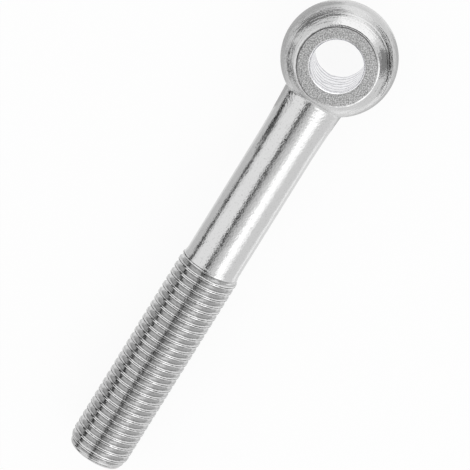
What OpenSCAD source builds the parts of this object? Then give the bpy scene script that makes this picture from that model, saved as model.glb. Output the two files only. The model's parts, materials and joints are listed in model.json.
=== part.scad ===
// Swing eye bolt: a forged eye with two flats and a bore for a hinge pin,
// a plain shank that swells into the eye, and a rolled right-hand thread.
// The bolt lies on one flat of its eye. The origin is the centre of the eye,
// +Z runs along the bore and +X along the shank, towards the point.

/* [Eye] */
// Diameter of the eye, around its bulging rim
eye_d = 28.8; // [27:0.1:32]
// Thickness of the eye across its two flats
eye_thickness = 18; // [17:0.1:20]
// Diameter of each flat
flat_d = 19.6; // [17:0.1:21]
// Width of the broken edge around each flat
rim_break = 0.3; // [0.1:0.05:0.6]
// Diameter of the bore for the hinge pin
bore_d = 13; // [10:0.1:15]
// Chamfer at both ends of the bore
bore_chamfer = 0.35; // [0.1:0.05:0.8]

/* [Shank] */
// Length from the centre of the eye to the point
bolt_length = 120; // [100:1:180]
// Diameter of the plain shank
shank_d = 14.7; // [14:0.1:15.4]
// Diameter of the neck, where the shank meets the eye
neck_d = 15.8; // [15:0.1:16.4]
// Length over which the neck narrows to the shank
neck_length = 17; // [8:0.5:26]
// Radius of the fillet between the neck and the eye
neck_fillet = 1.5; // [0.8:0.1:2.5]

/* [Thread] */
// Outside diameter of the thread
thread_d = 16; // [15.4:0.1:16.6]
// Pitch of the thread
pitch = 2; // [1.6:0.1:2.5]
// Length of the thread, with its run-out and its point
thread_length = 58.5; // [30:0.5:80]
// How far the shank swells where the thread begins
swell = 0.15; // [0.1:0.05:0.3]
// Length over which the ridges and grooves grow to full depth
runout = 2; // [1.4:0.1:4]
// Length of the rounded point
point_length = 4; // [2:0.1:6]
// Diameter at the end of the point
point_d = 13.8; // [12:0.1:15]

/* [Hidden] */
$fn = 96;

// How far one solid of the forging reaches into the next
lap = 0.4;

// Eye: its rim bulges as an arc from the edge of one flat to the other
eye_r = eye_d / 2;
half_thickness = eye_thickness / 2;
flat_r = flat_d / 2;
rim_r = flat_r + rim_break;
bulge_x = (eye_r * eye_r - rim_r * rim_r - half_thickness * half_thickness) / (2 * (eye_r - rim_r));
bulge_r = eye_r - bulge_x;
rim_slope = tan(acos(half_thickness / bulge_r) / 2);
bore_r = bore_d / 2;

// Neck: its fillet touches the bulge above and below, at fillet_angle from the bolt's axis
neck_r = neck_d / 2;
shank_r = shank_d / 2;
fillet_angle = asin((neck_r + neck_fillet) / (bulge_r + neck_fillet));
fillet_x = bulge_x + (bulge_r + neck_fillet) * cos(fillet_angle);
fillet_steps = 4;
neck_steps = 6;

// Thread: the profile of a 60 degree metric thread, four corners to a pitch
crest_r = thread_d / 2;
crest_w = pitch / 8;
root_r = crest_r - 0.61343 * pitch;
root_w = pitch / 6;
corners = [-crest_w / 2, crest_w / 2, (pitch - root_w) / 2, (pitch + root_w) / 2];
thread_start = bolt_length - thread_length;
thread_sides = 36;
buried_end = thread_start - pitch / 2;

function clamp(value, low, high) = max(low, min(high, value));

// Points of the neck's outline, as [radius, distance along the axis]
function fillet_point(part) =
    let (turn = fillet_angle + part * (90 - fillet_angle))
    [neck_r + neck_fillet * (1 - sin(turn)), fillet_x - neck_fillet * cos(turn)];
function neck_point(part) =
    [shank_r + (neck_r - shank_r) * pow(1 - part, 2), fillet_x + part * neck_length];

// Radius of the thread's profile at a distance from the middle of a crest
function profile_r(offset) =
    let (away = abs(offset - pitch * round(offset / pitch)))
    let (flank = (away - crest_w / 2) / ((pitch - crest_w - root_w) / 2))
    crest_r - (crest_r - root_r) * clamp(flank, 0, 1);

// Radius of the thread's surface. It starts inside the shank, swells out of it,
// grows to full depth in the run-out and falls away at the point.
function surface_r(along, offset) =
    let (base_r = shank_r + (along > buried_end ? swell : -lap))
    let (depth = clamp((along - thread_start) / runout, 0, 1))
    let (taper = clamp((along - bolt_length + point_length) / point_length, 0, 1))
    min(base_r + depth * (profile_r(offset) - base_r),
        crest_r - (crest_r - point_d / 2) * taper * taper);

// The eye: a bulging ring with two flats, bored through
module eye() {
    difference() {
        rotate_extrude()
            intersection() {
                translate([bulge_x, 0]) circle(r = bulge_r);
                flats_outline();
            }
        bore();
    }
}

// Half of the section between the two flats, with their edges broken
module flats_outline() {
    outer_r = eye_r + lap;
    outer_z = half_thickness - (outer_r - flat_r) * rim_slope;
    polygon([
        [0, -half_thickness],
        [flat_r, -half_thickness],
        [outer_r, -outer_z],
        [outer_r, outer_z],
        [flat_r, half_thickness],
        [0, half_thickness]
    ]);
}

// The bore, with a chamfer at each end
module bore() {
    cylinder(r = bore_r, h = eye_thickness + 2 * lap, center = true);
    for (side = [0, 180])
        rotate([side, 0, 0])
            translate([0, 0, half_thickness - bore_chamfer])
                cylinder(r1 = bore_r, r2 = bore_r + bore_chamfer + lap, h = bore_chamfer + lap);
}

// The neck and the plain shank, from inside the eye to inside the thread
module shank() {
    inside_eye = 2 * fillet_point(0) - fillet_point(1 / fillet_steps);
    rotate([0, 90, 0])
        rotate_extrude()
            polygon([
                [0, inside_eye[1]],
                inside_eye,
                for (step = [1 : fillet_steps]) fillet_point(step / fillet_steps),
                for (step = [1 : neck_steps]) neck_point(step / neck_steps),
                [shank_r, thread_start],
                [0, thread_start]
            ]);
}

// The threaded end: columns of points around the axis, each one following the profile.
// A column's rows move on by one pitch in a turn, so the last column joins the first
// four rows further on. Rows beyond either end lie in that end's face.
module threaded_end() {
    turns = ceil((bolt_length - buried_end) / pitch);
    rows = 4 * (turns + 4);
    function crest_at(column) = buried_end + pitch * (column / thread_sides - 2);
    function row_at(column, row) =
        clamp(crest_at(column) + pitch * floor(row / 4) + corners[row % 4], buried_end, bolt_length);
    function point_at(column, row) =
        let (along = row_at(column, row), turn = 360 * column / thread_sides)
        let (r = surface_r(along, along - crest_at(column)))
        [r * cos(turn), r * sin(turn), along];
    function index(column, row) =
        column < thread_sides ? column * rows + row : row + 4;
    points = [
        for (column = [0 : thread_sides - 1], row = [0 : rows - 1]) point_at(column, row)
    ];
    walls = [
        for (column = [0 : thread_sides - 1], row = [0 : rows - 6])
        let (a = index(column, row), b = index(column, row + 1))
        let (c = index(column + 1, row + 1), d = index(column + 1, row))
        each [
            if (points[a][2] < points[b][2]) [a, b, c],
            if (points[d][2] < points[c][2]) [a, c, d]
        ]
    ];
    near_end = [for (column = [0 : thread_sides - 1]) index(column, 0)];
    far_end = [for (column = [thread_sides - 1 : -1 : 0]) index(column, rows - 1)];
    rotate([0, 90, 0])
        polyhedron(points, concat(walls, [near_end, far_end]), convexity = 10);
}

module eye_bolt() {
    color("silver") {
        eye();
        shank();
        threaded_end();
    }
}

eye_bolt();
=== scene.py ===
import json
import math

import bmesh
import bpy
from mathutils import Matrix, Vector


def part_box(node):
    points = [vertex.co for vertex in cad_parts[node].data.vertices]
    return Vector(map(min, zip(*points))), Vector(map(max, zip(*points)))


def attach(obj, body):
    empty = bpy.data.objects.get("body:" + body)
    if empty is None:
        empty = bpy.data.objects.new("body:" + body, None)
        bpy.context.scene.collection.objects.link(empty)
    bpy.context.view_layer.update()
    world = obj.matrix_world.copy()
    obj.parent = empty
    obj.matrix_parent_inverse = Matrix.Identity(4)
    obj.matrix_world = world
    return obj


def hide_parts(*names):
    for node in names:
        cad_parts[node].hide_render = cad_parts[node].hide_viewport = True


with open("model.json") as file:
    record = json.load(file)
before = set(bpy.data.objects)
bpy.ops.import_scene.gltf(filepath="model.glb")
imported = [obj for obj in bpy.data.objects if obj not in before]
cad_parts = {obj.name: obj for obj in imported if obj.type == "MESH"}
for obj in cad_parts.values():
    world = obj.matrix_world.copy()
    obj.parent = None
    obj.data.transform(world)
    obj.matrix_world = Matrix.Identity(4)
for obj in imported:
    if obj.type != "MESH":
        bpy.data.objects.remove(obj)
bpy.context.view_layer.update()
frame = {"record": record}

# Eye: the head of the bolt, drop forged in stainless steel with a bulging rim.
# Both of its sides are milled flat, and the hole for the hinge pin is drilled and reamed.
# The mesh is drawn in millimetres, and becomes metres when the bolt is whole.
METRE = 1000
QUARTER_STEPS = 30
TURN_STEPS = 4 * QUARTER_STEPS
lowest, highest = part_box("eye_bolt")
mounts = {mount["name"]: mount for mount in frame["record"]["mounts"]}
eye_r = -lowest.x * METRE
flat_z = highest.z * METRE
flat_cuts = 7
rim_r = 10.1
rim_break = 0.3
rim_steps = 5
bore_r = mounts["eye_bore"]["dims"]["r_mm"]
bore_cuts = 23
bore_chamfer = 0.35
chamfer_round = 0.08
chamfer_steps = 3
merge_gap = 0.001

# The rim bulges as an arc of radius bulge_r, whose centre lies bulge_x out from the bore's axis.
bulge_x = (eye_r ** 2 - rim_r ** 2 - flat_z ** 2) / (2 * (eye_r - rim_r))
bulge_r = eye_r - bulge_x
rim_turn = math.atan2(flat_z, rim_r - bulge_x)

# The section is that arc, and a line back over the upper flat, down the bore and out again.
bolt = bmesh.new()
lower_rim = bolt.verts.new((rim_r, 0, -flat_z))
bmesh.ops.spin(bolt, geom=[lower_rim], cent=(bulge_x, 0, 0), axis=(0, 1, 0),
               angle=-2 * rim_turn, steps=QUARTER_STEPS)
upper_rim = max(bolt.verts, key=lambda vert: vert.co.z)
bore_corners = [
    bolt.verts.new((radius, 0, z))
    for radius, z in (
        (bore_r + bore_chamfer, flat_z),
        (bore_r, flat_z - bore_chamfer),
        (bore_r, bore_chamfer - flat_z),
        (bore_r + bore_chamfer, -flat_z),
    )
]
milled_line = [upper_rim, *bore_corners, lower_rim]
for ends in zip(milled_line, milled_line[1:]):
    bolt.edges.new(ends)
bmesh.ops.bevel(bolt, geom=[lower_rim, upper_rim], offset=rim_break, segments=rim_steps,
                affect="VERTICES", profile=0.5, material=-1)
bmesh.ops.bevel(bolt, geom=bore_corners, offset=chamfer_round, segments=chamfer_steps,
                affect="VERTICES", profile=0.5, material=-1)
flat_edges = [
    edge for edge in bolt.edges
    if all(abs(vert.co.z) > flat_z - merge_gap for vert in edge.verts)
]
bore_edges = [edge for edge in bolt.edges if edge.calc_length() > flat_z]
bmesh.ops.subdivide_edges(bolt, edges=flat_edges, cuts=flat_cuts)
bmesh.ops.subdivide_edges(bolt, edges=bore_edges, cuts=bore_cuts)


def on_bulge(edge):
    """Whether an edge of the section is part of the bulging rim, below the broken edges."""
    return all(
        vert.co.x > rim_r and abs(vert.co.z) < flat_z - rim_break / 2
        for vert in edge.verts
    )


# The flats and the bore go all the way round. The rim leaves out the quarter around the neck.
bulge_edges = [edge for edge in bolt.edges if on_bulge(edge)]
milled_edges = [edge for edge in bolt.edges if not on_bulge(edge)]
bmesh.ops.rotate(bolt, verts=bolt.verts, cent=(0, 0, 0),
                 matrix=Matrix.Rotation(math.pi / 4, 3, "Z"))
for edges, quarters in ((milled_edges, 4), (bulge_edges, 3)):
    verts = {vert for edge in edges for vert in edge.verts}
    bmesh.ops.spin(bolt, geom=[*verts, *edges], cent=(0, 0, 0), axis=(0, 0, 1),
                   angle=quarters * math.pi / 2, steps=quarters * QUARTER_STEPS,
                   use_merge=quarters == 4)
bmesh.ops.remove_doubles(bolt, verts=bolt.verts, dist=merge_gap)

# Neck and shank: the plain part of the bolt, forged in one with the eye and turned round.
# The neck swells a little towards the eye and runs into it through a fillet, which is
# full above and below and nearly sharp at the two sides.
neck_r = 7.9
shank_r = 7.35
neck_length = 17
full_fillet = 1.5
side_fillet = 0.5
thread_r = mounts["thread"]["dims"]["r_mm"]
point_x = highest.x * METRE
thread_start = point_x - mounts["thread"]["dims"]["length_mm"]
swell = 0.15
swell_length = 0.8

fillet_turn = math.asin((neck_r + full_fillet) / (bulge_r + full_fillet))
neck_start = bulge_x + (bulge_r + full_fillet) * math.cos(fillet_turn)
neck_end = neck_start + neck_length
shank_end = thread_start - swell_length


def fillet_point(turn, part):
    """A point of the fillet, at a turn around the bolt's axis, from the eye (0) to the neck (1)."""
    radius = side_fillet + (full_fillet - side_fillet) * math.sin(turn) ** 2
    outward = Vector((0, math.cos(turn), math.sin(turn)))
    ball = outward * (neck_r + radius)
    reach = bulge_x + math.sqrt((bulge_r + radius) ** 2 - ball.z ** 2)
    ball.x = math.sqrt(reach ** 2 - ball.y ** 2)
    rim_core = Vector((ball.x, ball.y, 0)).normalized() * bulge_x
    to_eye = (rim_core - ball).normalized()
    return ball + radius * to_eye.slerp(-outward, part)


def eased(value):
    """A value held between 0 and 1, with a soft start and end."""
    held = min(max(value, 0), 1)
    return held * held * (3 - 2 * held)


# The outline is turned about the bolt's axis. Its first stretch then becomes the fillet, and
# its last one the slight swelling before the thread. It stops just short of the thread.
fillet_room = 1
thread_gap = 0.02
stretch_cuts = (7, 13, 9, 6)
shank = bmesh.new()
outline = [
    shank.verts.new((x, shank_r, 0))
    for x in (neck_start - fillet_room, neck_start, neck_end, shank_end, thread_start - thread_gap)
]
stretches = [shank.edges.new(ends) for ends in zip(outline, outline[1:])]
for stretch, cuts in zip(stretches, stretch_cuts):
    bmesh.ops.subdivide_edges(shank, edges=[stretch], cuts=cuts)
bmesh.ops.spin(shank, geom=shank.verts[:] + shank.edges[:], cent=(0, 0, 0), axis=(1, 0, 0),
               angle=2 * math.pi, steps=TURN_STEPS, use_merge=True)
for vert in shank.verts:
    x = vert.co.x
    turn = math.atan2(vert.co.z, vert.co.y)
    if x < neck_start + merge_gap:
        part = (x - neck_start) / fillet_room + 1
        vert.co = fillet_point(turn, min(max(part, 0), 1))
    else:
        narrowed = max((neck_end - x) / neck_length, 0)
        radius = shank_r + (neck_r - shank_r) * narrowed ** 2
        radius += swell * eased((x - shank_end) / swell_length)
        vert.co.yz = radius * math.cos(turn), radius * math.sin(turn)

# The rim closes around the fillet, and what closes it follows the bulge.
saddle_cuts = 9
bolt_mesh = bpy.data.meshes.new("eye_bolt_steel")
shank.to_mesh(bolt_mesh)
bolt.from_mesh(bolt_mesh)
neck_gap = [edge for edge in bolt.edges if edge.is_boundary and edge.verts[0].co.x < neck_end]
bridge = bmesh.ops.bridge_loops(bolt, edges=neck_gap)
filled = bmesh.ops.subdivide_edges(bolt, edges=bridge["edges"], cuts=saddle_cuts, use_grid_fill=True)
for vert in filled["geom_inner"]:
    if isinstance(vert, bmesh.types.BMVert):
        rim_core = Vector((vert.co.x, vert.co.y, 0)).normalized() * bulge_x
        vert.co = rim_core + bulge_r * (vert.co - rim_core).normalized()

# Thread: a right-hand metric thread, rolled on to the blank, so that its crests stand proud
# of the shank. The dies leave each crest as two low ridges with a seam between them, and the
# blank's chamfer gives the rounded point.
pitch = 2
# The depth of a metric thread, as a share of its pitch.
depth_share = 0.61343
crest_w = 0.58
seam_depth = 0.14
crest_round = 0.12
crest_steps = 3
root_r = thread_r - depth_share * pitch
root_w = 0.24
root_round = 0.1
root_steps = 2
runout = 1.2
point_length = 4
point_r = 6.9
tip_round = 0.5
closing_length = 0.8

# One pitch of the outline is repeated along the bolt, from some way inside the shank. The
# whole outline is then turned once around, moving on by a pitch, so that each ridge joins
# the next, and it is cut off square at both ends.
pitches_inside = 2
first_root = thread_start - pitches_inside * pitch
thread = bmesh.new()
profile = [
    thread.verts.new((first_root + x, 0, -radius))
    for x, radius in (
        (0, root_r),
        (root_w / 2, root_r),
        ((pitch - crest_w) / 2, thread_r),
        (pitch / 2, thread_r - seam_depth),
        ((pitch + crest_w) / 2, thread_r),
        (pitch - root_w / 2, root_r),
        (pitch, root_r),
    )
]
for ends in zip(profile, profile[1:]):
    thread.edges.new(ends)
crests = profile[2:5:2]
roots = profile[1:6:4]
for corners, rounding, steps in ((crests, crest_round, crest_steps), (roots, root_round, root_steps)):
    bmesh.ops.bevel(thread, geom=corners, offset=rounding, segments=steps,
                    affect="VERTICES", profile=0.5, material=-1)
flanks = [edge for edge in thread.edges if edge.calc_length() > pitch / 4]
bmesh.ops.subdivide_edges(thread, edges=flanks, cuts=1)
pitches = math.ceil((point_x - first_root) / pitch) + 1
bmesh.ops.spin(thread, geom=thread.verts[:] + thread.edges[:], cent=(0, 0, 0), axis=(1, 0, 0),
               dvec=(pitch, 0, 0), angle=0, steps=pitches, use_duplicate=True)
bmesh.ops.remove_doubles(thread, verts=thread.verts, dist=merge_gap)
bmesh.ops.spin(thread, geom=thread.verts[:] + thread.edges[:], cent=(0, 0, 0), axis=(1, 0, 0),
               dvec=(pitch / TURN_STEPS, 0, 0), angle=2 * math.pi, steps=TURN_STEPS)
bmesh.ops.remove_doubles(thread, verts=thread.verts, dist=merge_gap)
tip_start = point_x - tip_round
for x, side in ((thread_start, -1), (tip_start, 1)):
    bmesh.ops.bisect_plane(thread, geom=thread.verts[:] + thread.edges[:] + thread.faces[:],
                           dist=merge_gap, plane_co=(x, 0, 0), plane_no=(side, 0, 0),
                           clear_outer=True)

# The grooves grow to full depth within a pitch of the shank, and close at the point.
swollen_r = shank_r + swell
for vert in thread.verts:
    x = vert.co.x
    turn = math.atan2(vert.co.z, vert.co.y)
    depth = eased((x - thread_start) / runout)
    taper = max((x - point_x + point_length) / point_length, 0)
    limit = thread_r - (thread_r - point_r) * taper ** 2
    radius = min(swollen_r + depth * (math.hypot(vert.co.y, vert.co.z) - swollen_r), limit)
    radius += (limit - radius) * eased((x - tip_start + closing_length) / closing_length)
    vert.co.yz = radius * math.cos(turn), radius * math.sin(turn)

# The tip is rounded off in steps, and its sheared end is closed by two rings and a disc.
tip_steps = 5
end_ring = 0.25
tip_r = thread_r - (thread_r - point_r) * (1 - tip_round / point_length) ** 2
tip_turns = [math.pi / 2 * step / tip_steps for step in range(1, tip_steps + 1)]
tip_rings = [
    (tip_start + tip_round * math.sin(turn), tip_r - tip_round * (1 - math.cos(turn)))
    for turn in tip_turns
]
tip_rings += [(point_x, tip_r - tip_round - end_ring), (point_x, tip_r / 2)]
ring = [
    edge for edge in thread.edges
    if edge.is_boundary and edge.verts[0].co.x > tip_start - merge_gap
]
last_x = tip_start
last_r = tip_r
for x, radius in tip_rings:
    pushed = bmesh.ops.extrude_edge_only(thread, edges=ring)["geom"]
    verts = [element for element in pushed if isinstance(element, bmesh.types.BMVert)]
    ring = [
        element for element in pushed
        if isinstance(element, bmesh.types.BMEdge) and set(element.verts) <= set(verts)
    ]
    shrink = radius / last_r
    bmesh.ops.scale(thread, vec=(1, shrink, shrink), verts=verts)
    bmesh.ops.translate(thread, vec=(x - last_x, 0, 0), verts=verts)
    last_x = x
    last_r = radius
bmesh.ops.contextual_create(thread, geom=ring)
thread.to_mesh(bolt_mesh)
bolt.from_mesh(bolt_mesh)
bmesh.ops.bridge_loops(bolt, edges=[edge for edge in bolt.edges if edge.is_boundary])
bmesh.ops.recalc_face_normals(bolt, faces=bolt.faces)

# Each face takes the finish of its region: milled flat, reamed, rolled, or as forged elsewhere.
FORGED, MILLED, REAMED, ROLLED = range(4)
for face in bolt.faces:
    centre = face.calc_center_median()
    face.smooth = True
    face.material_index = FORGED
    if thread_start < centre.x < tip_start:
        face.material_index = ROLLED
    elif abs(centre.z) > flat_z - merge_gap:
        face.material_index = MILLED
    elif centre.xy.length < bore_r + bore_chamfer:
        face.material_index = REAMED
bmesh.ops.scale(bolt, vec=(1 / METRE,) * 3, verts=bolt.verts)
bolt.to_mesh(bolt_mesh)


def linear(hex_colour):
    """A colour written as sRGB hex, as the linear values that a shader takes."""
    channels = [int(hex_colour[i:i + 2], 16) / 255 for i in (1, 3, 5)]
    return [c / 12.92 if c < 0.04045 else ((c + 0.055) / 1.055) ** 2.4 for c in channels] + [1]


def add_node(tree, kind, inputs=None, **settings):
    """Adds a node with its settings, and gives each named input a value or a link."""
    node = tree.nodes.new(kind)
    for name, value in settings.items():
        setattr(node, name, value)
    for name, value in (inputs or {}).items():
        socket = node.inputs[name]
        if isinstance(value, bpy.types.NodeSocket):
            tree.links.new(value, socket)
        else:
            socket.default_value = value
    return node


def new_material(name):
    """A material with an empty node tree, and that tree."""
    material = bpy.data.materials.new(name)
    material.use_nodes = True
    material.node_tree.nodes.clear()
    return material, material.node_tree


def from_bore_axis(tree, place):
    """How far a place lies from the axis of the bore."""
    flattened = add_node(tree, "ShaderNodeVectorMath", {0: place, 1: (1, 1, 0)}, operation="MULTIPLY")
    reach = add_node(tree, "ShaderNodeVectorMath", {0: flattened.outputs[0]}, operation="LENGTH")
    return reach.outputs["Value"]


def bare_metal(tree, colour, roughness, normal):
    """Ends the nodes of a finish in bare metal."""
    shader = add_node(tree, "ShaderNodeBsdfPrincipled", {
        "Base Color": colour, "Metallic": 1.0, "Roughness": roughness, "Normal": normal})
    add_node(tree, "ShaderNodeOutputMaterial", {"Surface": shader.outputs["BSDF"]})


# Tumbled stainless steel: descaled in acid and tumbled after forging. It is bright and
# mirrors its surroundings, but pits and soft ripples speckle every edge of what it mirrors.
# The eye keeps streaks of the forging die around its rim. Pits are drawn coarser than they
# are, because real ones are too fine to show.
pit = 0.4 / METRE
pit_depth = 0.09 / METRE
ripple = 2.2 / METRE
ripple_depth = 0.14 / METRE
streak = 0.9 / METRE
streak_depth = 0.2 / METRE
streak_slant = 0.12
streaks_end = 20 / METRE

# A Mix node's two colours and its result are found by their place among its sockets.
COLOUR_A = 6
COLOUR_B = 7
MIXED = 2

forged, tree = new_material("tumbled_stainless_steel")
place = add_node(tree, "ShaderNodeTexCoord").outputs["Object"]
pits = add_node(tree, "ShaderNodeTexNoise", {
    "Vector": place, "Scale": 1 / pit, "Detail": 1.5, "Roughness": 0.6})
ripples = add_node(tree, "ShaderNodeTexNoise", {
    "Vector": place, "Scale": 1 / ripple, "Detail": 2.0})
axes = add_node(tree, "ShaderNodeSeparateXYZ", {"Vector": place})
slant = add_node(tree, "ShaderNodeMath", {0: axes.outputs["X"], 1: streak_slant}, operation="MULTIPLY")
around = add_node(tree, "ShaderNodeCombineXYZ", {
    "X": from_bore_axis(tree, place), "Y": axes.outputs["Z"], "Z": slant.outputs[0]})
streaks = add_node(tree, "ShaderNodeTexNoise", {
    "Vector": around.outputs[0], "Scale": 1 / streak, "Detail": 2.0, "Roughness": 0.6})
on_eye = add_node(tree, "ShaderNodeMapRange", {
    "Value": axes.outputs["X"], "From Min": eye_r / METRE, "From Max": streaks_end,
    "To Min": 0.7, "To Max": 0.0})
dark_pits = add_node(tree, "ShaderNodeMapRange", {
    "Value": pits.outputs["Fac"], "From Min": 0.58, "From Max": 0.75, "To Min": 0.0, "To Max": 0.35})
colour = add_node(tree, "ShaderNodeMix", {
    "Factor": dark_pits.outputs["Result"], COLOUR_A: linear("#CACACA"), COLOUR_B: linear("#7C7C7C")},
    data_type="RGBA")
polish = add_node(tree, "ShaderNodeMapRange", {
    "Value": ripples.outputs["Fac"], "From Min": 0.3, "From Max": 0.7,
    "To Min": 0.09, "To Max": 0.15})
die_marks = add_node(tree, "ShaderNodeBump", {
    "Height": streaks.outputs["Fac"], "Strength": on_eye.outputs["Result"], "Distance": streak_depth})
waves = add_node(tree, "ShaderNodeBump", {
    "Height": ripples.outputs["Fac"], "Strength": 0.5, "Distance": ripple_depth,
    "Normal": die_marks.outputs["Normal"]})
grain = add_node(tree, "ShaderNodeBump", {
    "Height": pits.outputs["Fac"], "Strength": 0.5, "Distance": pit_depth,
    "Normal": waves.outputs["Normal"]})
bare_metal(tree, colour.outputs[MIXED], polish.outputs["Result"], grain.outputs["Normal"])

# Milled flats: faced off and left grainy, so that they scatter light and look matte and grey.
# A dark line is painted along the edge of each flat, on one side only, as painted shade. The grit is
# drawn coarser than it is, so that it shows.
grit_size = 0.32 / METRE
grit_depth = 0.12 / METRE
# Painted shade along each flat's edge: its width, and where it starts and is full across the flat.
edge_shade_w = 0.3 / METRE
edge_shade_start = -4 / METRE
edge_shade_full = 3 / METRE
shaded_side_way = (-0.79, -0.62, 0)
flat_edge = (rim_r - rim_break) / METRE
milled, tree = new_material("milled_stainless_steel")
place = add_node(tree, "ShaderNodeTexCoord").outputs["Object"]
grit = add_node(tree, "ShaderNodeTexNoise", {
    "Vector": place, "Scale": 1 / grit_size, "Detail": 2.0, "Roughness": 0.7})
contrast = add_node(tree, "ShaderNodeMapRange", {
    "Value": grit.outputs["Fac"], "From Min": 0.36, "From Max": 0.64, "To Min": 0.0, "To Max": 1.0})
face_colour = add_node(tree, "ShaderNodeMix", {
    "Factor": contrast.outputs["Result"], COLOUR_A: linear("#8A8A8A"), COLOUR_B: linear("#E8E8E8")},
    data_type="RGBA")
# Painted shade: a dark line along the edge of each flat, which fades out towards one side.
along_edge = add_node(tree, "ShaderNodeMapRange", {
    "Value": from_bore_axis(tree, place),
    "From Min": flat_edge - edge_shade_w, "From Max": flat_edge - edge_shade_w / 2,
    "To Min": 0.0, "To Max": 0.9})
toward_shaded_side = add_node(tree, "ShaderNodeVectorMath", {0: place, 1: shaded_side_way}, operation="DOT_PRODUCT")
shaded_side_share = add_node(tree, "ShaderNodeMapRange", {
    "Value": toward_shaded_side.outputs["Value"], "From Min": edge_shade_start, "From Max": edge_shade_full,
    "To Min": 0.0, "To Max": 1.0})
painted_edge_shade = add_node(tree, "ShaderNodeMath", {
    0: along_edge.outputs["Result"], 1: shaded_side_share.outputs["Result"]}, operation="MULTIPLY")
colour = add_node(tree, "ShaderNodeMix", {
    "Factor": painted_edge_shade.outputs[0], COLOUR_A: face_colour.outputs[MIXED], COLOUR_B: linear("#3C3C3C")},
    data_type="RGBA")
grain = add_node(tree, "ShaderNodeBump", {
    "Height": grit.outputs["Fac"], "Strength": 0.6, "Distance": grit_depth})
bare_metal(tree, colour.outputs[MIXED], roughness=0.3, normal=grain.outputs["Normal"])

# Reamed bore: drilled and then reamed smooth and bright. The reamer leaves fine lines around
# the wall, which are drawn further apart than they are, so that they show.
line_gap = 2.6 / METRE
line_depth = 0.1 / METRE
# How far apart the bands of a wave texture lie at a scale of 1.
WAVE_PERIOD = math.pi / 10
reamed, tree = new_material("reamed_stainless_steel")
place = add_node(tree, "ShaderNodeTexCoord").outputs["Object"]
lines = add_node(tree, "ShaderNodeTexWave", {
    "Vector": place, "Scale": WAVE_PERIOD / line_gap, "Distortion": 4.0, "Detail": 3.0,
    "Detail Scale": 3.0}, wave_type="BANDS", bands_direction="Z")
cut = add_node(tree, "ShaderNodeMapRange", {
    "Value": lines.outputs["Fac"], "From Min": 0.0, "From Max": 0.35, "To Min": 0.0, "To Max": 1.0})
colour = add_node(tree, "ShaderNodeMix", {
    "Factor": cut.outputs["Result"], COLOUR_A: linear("#BCBCC2"), COLOUR_B: linear("#F2F2F4")},
    data_type="RGBA")
grain = add_node(tree, "ShaderNodeBump", {
    "Height": lines.outputs["Fac"], "Strength": 0.6, "Distance": line_depth})
bare_metal(tree, colour.outputs[MIXED], roughness=0.25, normal=grain.outputs["Normal"])

# Rolled thread: the dies fold each crest up from both sides, which leaves a seam along it. Its colour
# is painted in bands across each pitch: painted shade in the seam and towards each root, and painted
# highlights along the crest's two edges. The dies also draw fine lines along the flanks, which are
# painted a little duller. Seam and lines are drawn coarser than they are, so that they show.
die_line = 0.3 / METRE
die_line_depth = 0.08 / METRE
dent = 0.8 / METRE
dent_depth = 0.1 / METRE
seam_wander = 0.03
# The outline was drawn straight below the axis, a quarter turn before the angle's zero.
crest_phase = first_root / pitch + 1 / 4
# Painted shade in the seam: its share of a pitch, and its grey.
seam_shade_share = 0.035
seam_shade_grey = "#585858"
rolled, tree = new_material("rolled_stainless_steel")
place = add_node(tree, "ShaderNodeTexCoord").outputs["Object"]
axes = add_node(tree, "ShaderNodeSeparateXYZ", {"Vector": place})
angle = add_node(tree, "ShaderNodeMath", {
    0: axes.outputs["Z"], 1: axes.outputs["Y"]}, operation="ARCTAN2")
wound = add_node(tree, "ShaderNodeMath", {
    0: angle.outputs[0], 1: -1 / (2 * math.pi), 2: -crest_phase}, operation="MULTIPLY_ADD")
pitches_on = add_node(tree, "ShaderNodeMath", {
    0: axes.outputs["X"], 1: METRE / pitch, 2: wound.outputs[0]}, operation="MULTIPLY_ADD")
over_pitch = add_node(tree, "ShaderNodeMath", {0: pitches_on.outputs[0]}, operation="FRACT")
to_crest = add_node(tree, "ShaderNodeMath", {0: over_pitch.outputs[0], 1: 0.5}, operation="SUBTRACT")
away = add_node(tree, "ShaderNodeMath", {0: to_crest.outputs[0]}, operation="ABSOLUTE")
dents = add_node(tree, "ShaderNodeTexNoise", {
    "Vector": place, "Scale": 1 / dent, "Detail": 2.0, "Roughness": 0.6})
uneven = add_node(tree, "ShaderNodeMapRange", {
    "Value": dents.outputs["Fac"], "From Min": 0.3, "From Max": 0.7,
    "To Min": -seam_wander, "To Max": seam_wander})
wandering = add_node(tree, "ShaderNodeMath", {
    0: away.outputs[0], 1: uneven.outputs["Result"]}, operation="ADD")
# Painted light and shade: bands of grey across each pitch, for the seam, crest edges, flanks and roots.
bands = add_node(tree, "ShaderNodeValToRGB", {"Fac": wandering.outputs[0]})
stops = bands.color_ramp.elements
stops.remove(stops[1])
stops[0].position = seam_shade_share
stops[0].color = linear(seam_shade_grey)
# Each band is placed by its share of a pitch, from the middle of a crest, 0, to that of a root, 0.5.
for position, grey in (
    (0.06, "#DADADA"), (0.17, "#DADADA"), (0.21, "#ACACAC"),
    (0.32, "#CECECE"), (0.42, "#C8C8C8"), (0.47, "#929292"),
):
    stops.new(position).color = linear(grey)
die_lines = add_node(tree, "ShaderNodeTexNoise", {
    "W": over_pitch.outputs[0], "Scale": pitch / METRE / die_line, "Detail": 2.0, "Roughness": 0.6},
    noise_dimensions="1D")
drawn = add_node(tree, "ShaderNodeBump", {
    "Height": die_lines.outputs["Fac"], "Strength": 0.5, "Distance": die_line_depth})
grain = add_node(tree, "ShaderNodeBump", {
    "Height": dents.outputs["Fac"], "Strength": 0.6, "Distance": dent_depth,
    "Normal": drawn.outputs["Normal"]})
bare_metal(tree, bands.outputs["Color"], roughness=0.14, normal=grain.outputs["Normal"])


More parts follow.
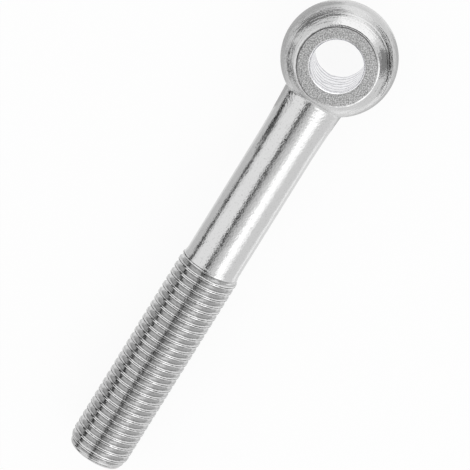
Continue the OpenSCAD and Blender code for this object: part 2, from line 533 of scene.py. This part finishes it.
def add_object(name, data):
    """Puts a mesh, lamp or camera into the scene, at the origin."""
    thing = bpy.data.objects.new(name, data)
    bpy.context.scene.collection.objects.link(thing)
    return thing


# The bolt is one piece with four finishes, and takes the place of the plain solid.
for finish in (forged, milled, reamed, rolled):
    bolt_mesh.materials.append(finish)
eye_bolt = add_object("eye_bolt_steel", bolt_mesh)
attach(eye_bolt, "root")
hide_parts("eye_bolt")


# Floor: a plain pale studio floor under the bolt, which lies on one flat of its eye.
# It is white to the camera and in the steel, and keeps a faint shadow of the bolt.
def seen_or_mirrored(tree):
    """1 for what the camera sees, straight, in metal or through glass, and 0 for other light."""
    rays = add_node(tree, "ShaderNodeLightPath").outputs
    mirrored = add_node(tree, "ShaderNodeMath", {
        0: rays["Is Glossy Ray"], 1: rays["Is Transmission Ray"]}, operation="MAXIMUM")
    seen = add_node(tree, "ShaderNodeMath", {
        0: rays["Is Camera Ray"], 1: mirrored.outputs[0]}, operation="MAXIMUM")
    return seen.outputs[0]


floor_size = 4
floor_glow = 0.92
floor_mesh = bpy.data.meshes.new("studio_floor")
sheet = bmesh.new()
bmesh.ops.create_grid(sheet, x_segments=1, y_segments=1, size=floor_size / 2)
bmesh.ops.translate(sheet, vec=(0, 0, lowest.z), verts=sheet.verts)
sheet.to_mesh(floor_mesh)
add_object("studio_floor", floor_mesh)
white, tree = new_material("white_floor_paint")
share = add_node(tree, "ShaderNodeMath", {0: seen_or_mirrored(tree), 1: floor_glow}, operation="MULTIPLY")
paint = add_node(tree, "ShaderNodeBsdfDiffuse", {"Color": linear("#F6F6F6")})
glow = add_node(tree, "ShaderNodeEmission", {"Color": linear("#FFFFFF"), "Strength": 1.0})
mixed = add_node(tree, "ShaderNodeMixShader", {
    0: share.outputs[0], 1: paint.outputs[0], 2: glow.outputs[0]})
add_node(tree, "ShaderNodeOutputMaterial", {"Surface": mixed.outputs[0]})
floor_mesh.materials.append(white)

# Backdrop: a white studio all round. It is white to the camera and in the steel, and a
# little dimmer where it only lights the floor.
backdrop_light = 0.75
world = bpy.data.worlds.new("white_studio")
bpy.context.scene.world = world
world.use_nodes = True
tree = world.node_tree
tree.nodes.clear()
level = add_node(tree, "ShaderNodeMapRange", {
    "Value": seen_or_mirrored(tree), "To Min": backdrop_light, "To Max": 1.0})
backdrop = add_node(tree, "ShaderNodeBackground", {
    "Color": linear("#FFFFFF"), "Strength": level.outputs[0]})
add_node(tree, "ShaderNodeOutputWorld", {"Surface": backdrop.outputs[0]})

# Softboxes: large cloth boxes to the right, to the left and beyond the eye. Each faces the
# bolt. Their places and sizes are in metres, and their brightness is set against the backdrop's.
lamp_aim = Vector((0.04, 0, 0))
for name, spot, width, tall, brightness in (
    ("right_softbox", (0.25, 0.66, 0.66), 1.2, 0.62, 0.5),
    ("right_softbox_heart", (0.25, 0.62, 0.68), 1.2, 0.34, 0.35),
    ("left_softbox", (0.25, -0.70, 0.60), 1.2, 0.8, 0.2),
    ("head_softbox", (-0.85, 0.0, 0.32), 1.2, 0.7, 0.55),
):
    lamp = bpy.data.lights.new(name, "AREA")
    lamp.shape = "RECTANGLE"
    lamp.size = width
    lamp.size_y = tall
    lamp.energy = brightness * math.pi * width * tall
    softbox = add_object(name, lamp)
    softbox.location = spot
    softbox.rotation_euler = (lamp_aim - softbox.location).to_track_quat("-Z", "Y").to_euler()
    softbox.visible_camera = False


# Cards: matte cards, hung, stood or laid around bright metal. Dark ones give its rounded edges
# a dark line, and white ones a highlight. Only the steel mirrors them. Places are in metres.
def stand_card(name, card, grey, brightness):
    """Sets up a card from its mesh, in one even grey. Over 1 is a white card in strong light."""
    card_mesh = bpy.data.meshes.new(name)
    card.to_mesh(card_mesh)
    board = add_object(name, card_mesh)
    for kind in ("camera", "diffuse", "shadow", "transmission", "volume_scatter"):
        setattr(board, "visible_" + kind, False)
    finish, tree = new_material(name + "_paint")
    glow = add_node(tree, "ShaderNodeEmission", {"Color": linear(grey), "Strength": brightness})
    add_node(tree, "ShaderNodeOutputMaterial", {"Surface": glow.outputs[0]})
    card_mesh.materials.append(finish)


def stand_flat_card(name, start, end, across, grey, brightness):
    """Sets up a flat card, from the two ends of one edge and the way to the opposite edge."""
    card = bmesh.new()
    edge = card.edges.new([card.verts.new(start), card.verts.new(end)])
    pushed = bmesh.ops.extrude_edge_only(card, edges=[edge])["geom"]
    verts = [element for element in pushed if isinstance(element, bmesh.types.BMVert)]
    bmesh.ops.translate(card, vec=across, verts=verts)
    stand_card(name, card, grey, brightness)


# The cards overhead hang side by side, along the bolt. Each is given by its two long edges,
# in degrees from straight above the bolt.
overhead_z = 0.6
overhead_x = -0.04
overhead_length = 1.6
for name, first, last, grey in (
    ("overhead_edge", -24, -17.5, "#E0E0E0"),
    ("overhead_gap", -17.5, -10, "#161616"),
    ("overhead_dim", -10, -3, "#B0B0B0"),
    ("overhead_pale", -3, 4, "#D6D6D6"),
    ("overhead_light", 4, 12, "#EAEAEA"),
):
    start, end = [
        (overhead_x, overhead_z * math.tan(math.radians(degrees)), overhead_z)
        for degrees in (first, last)
    ]
    stand_flat_card(name, start, end, (overhead_length, 0, 0), grey, brightness=1.0)

# The walls stand on the floor, the boards lie just above it, and the last one is the dark
# stand of the camera.
board_lift = 0.0002
board_z = lowest.z + board_lift
wall_y = -0.1
wall_joint = 0.09
wall_end = 0.6
for name, start, end, across, grey, brightness in (
    ("left_wall", (0.03, wall_y, lowest.z), (wall_joint, wall_y, lowest.z),
     (0, 0, 0.024), "#626262", 1.0),
    ("left_wall_end", (wall_joint, wall_y, lowest.z), (wall_end, wall_y, lowest.z),
     (0, 0, 0.028), "#202020", 1.0),
    ("left_board", (0.01, wall_y, board_z), (wall_end, wall_y, board_z),
     (0, 0.085, 0), "#E8E8E8", 1.0),
    ("right_board", (0.024, 0.021, board_z), (0.07, 0.021, board_z),
     (0, 0.011, 0), "#FFFFFF", 1.35),
    ("camera_stand", (-0.62, -0.35, 0.75), (-0.62, 0.3, 0.75),
     (0.4, 0, 0), "#303030", 1.0),
):
    stand_flat_card(name, start, end, across, grey, brightness)

# Flags and boards: cards bent around the eye, tapered at both ends, for the dark arcs and
# the white highlight on its rim. Each is given by its two ends around the eye, in degrees,
# and by two points of its section, as distance from the bore's axis and height.
flag_steps = 24
flag_taper = 0.7
strip_z = board_z + board_lift / 2
for name, first, last, near, far, grey, brightness in (
    ("right_flag", 70, 165, (0.036, -0.009), (0.036, 0.0), "#080808", 1.0),
    ("right_flag_top", 96, 138, (0.036, 0.0), (0.036, 0.018), "#A0A0A0", 1.0),
    ("right_strip", 44, 104, (0.03, strip_z), (0.038, strip_z), "#FFFFFF", 1.35),
    ("right_shade", 10, 150, (0.012, board_z), (0.025, board_z), "#D2D2D2", 1.0),
    ("left_flag", 200, 282, (0.038, -0.009), (0.038, 0.006), "#8C8C8C", 1.0),
    ("left_flag_end", 284, 330, (0.038, -0.003), (0.038, 0.002), "#202020", 1.0),
    ("left_flag_top", 284, 316, (0.04, 0.003), (0.04, 0.016), "#F4F4F4", 1.0),
    ("left_shade", 206, 338, (0.012, strip_z), (0.032, strip_z), "#CCCCCC", 1.0),
    ("head_strip", 165, 218, (0.027, board_z), (0.043, board_z), "#FFFFFF", 1.3),
    ("head_board", 150, 218, (0.056, board_z), (0.6, board_z), "#FFFFFF", 1.4),
):
    card = bmesh.new()
    to_first = Matrix.Rotation(math.radians(first), 3, "Z")
    edge = card.edges.new([card.verts.new(to_first @ Vector((reach, 0, z))) for reach, z in (near, far)])
    bmesh.ops.spin(card, geom=[*edge.verts, edge], cent=(0, 0, 0), axis=(0, 0, 1),
                   angle=math.radians(last - first), steps=flag_steps)
    middle = (Vector(near) + Vector(far)) / 2
    for vert in card.verts:
        part = (math.degrees(math.atan2(vert.co.y, vert.co.x)) % 360 - first) / (last - first)
        taper = max(math.sin(math.pi * part), 0) ** flag_taper
        reach = vert.co.xy.length
        vert.co.xy *= (middle.x + (reach - middle.x) * taper) / reach
        vert.co.z = middle.y + (vert.co.z - middle.y) * taper
    stand_card(name, card, grey, brightness)

# Camera: a long lens high above the eye's end, which looks down on the bolt at a slant. It is
# rolled so that the bolt runs from the upper right to the lower left.
camera_place = Vector((-173.49, -43.48, 773.18)) / METRE
camera_aim = Vector((51.86, 1.05, 0.01)) / METRE
camera_roll = math.radians(-159.83)
camera = add_object("camera", bpy.data.cameras.new("camera"))
camera.data.lens = 250
camera.data.sensor_width = 36
facing = (camera_aim - camera_place).to_track_quat("-Z", "Y").to_matrix().to_4x4()
camera.matrix_world = Matrix.Translation(camera_place) @ facing @ Matrix.Rotation(camera_roll, 4, "Z")
bpy.context.scene.camera = camera
bpy.context.scene.view_settings.view_transform = "Standard"
